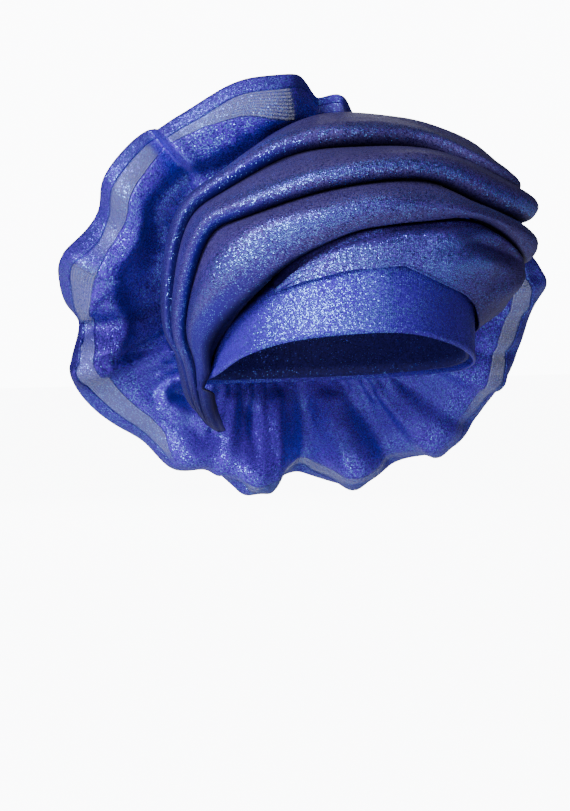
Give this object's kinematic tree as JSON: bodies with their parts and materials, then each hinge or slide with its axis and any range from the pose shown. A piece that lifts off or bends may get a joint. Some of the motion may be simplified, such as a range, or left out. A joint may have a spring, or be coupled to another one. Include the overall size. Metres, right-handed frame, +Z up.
{
  "type": "tied gele head tie",
  "caption": "Royal blue glitter organza gele worn tied: cap and forehead band, rolled pleats swept over the crown, gathered front drape and a round sheer-edged ruffle behind",
  "frame": {"origin": "Centre of the head opening, level with the lower edge of the forehead band at the middle of the forehead. The head holds the tie there.", "axes": "+Z is up. The wearer faces -Y. The wearer's left is +X, along the widest extent."},
  "size_m": [0.3067, 0.2183, 0.2549],
  "materials": {
    "cap_cloth": "matt woven cloth",
    "band_cloth": "glitter lurex cloth",
    "drape_cloth": "glitter organza",
    "pleat_cloth": "glitter organza",
    "ruffle_cloth": "glitter organza",
    "sheer_cloth": "sheer organza",
    "hem_cloth": "doubled glitter organza"
  },
  "bodies": {
    "root": {"crown_cap": "cap_cloth", "forehead_band": "band_cloth", "front_drape": "drape_cloth", "lower_pleat": "pleat_cloth", "middle_pleat": "pleat_cloth", "upper_pleat": "pleat_cloth", "ruffle": "ruffle_cloth", "ruffle_sheer": "sheer_cloth", "ruffle_hem": "hem_cloth"}
  },
  "joints": []
}
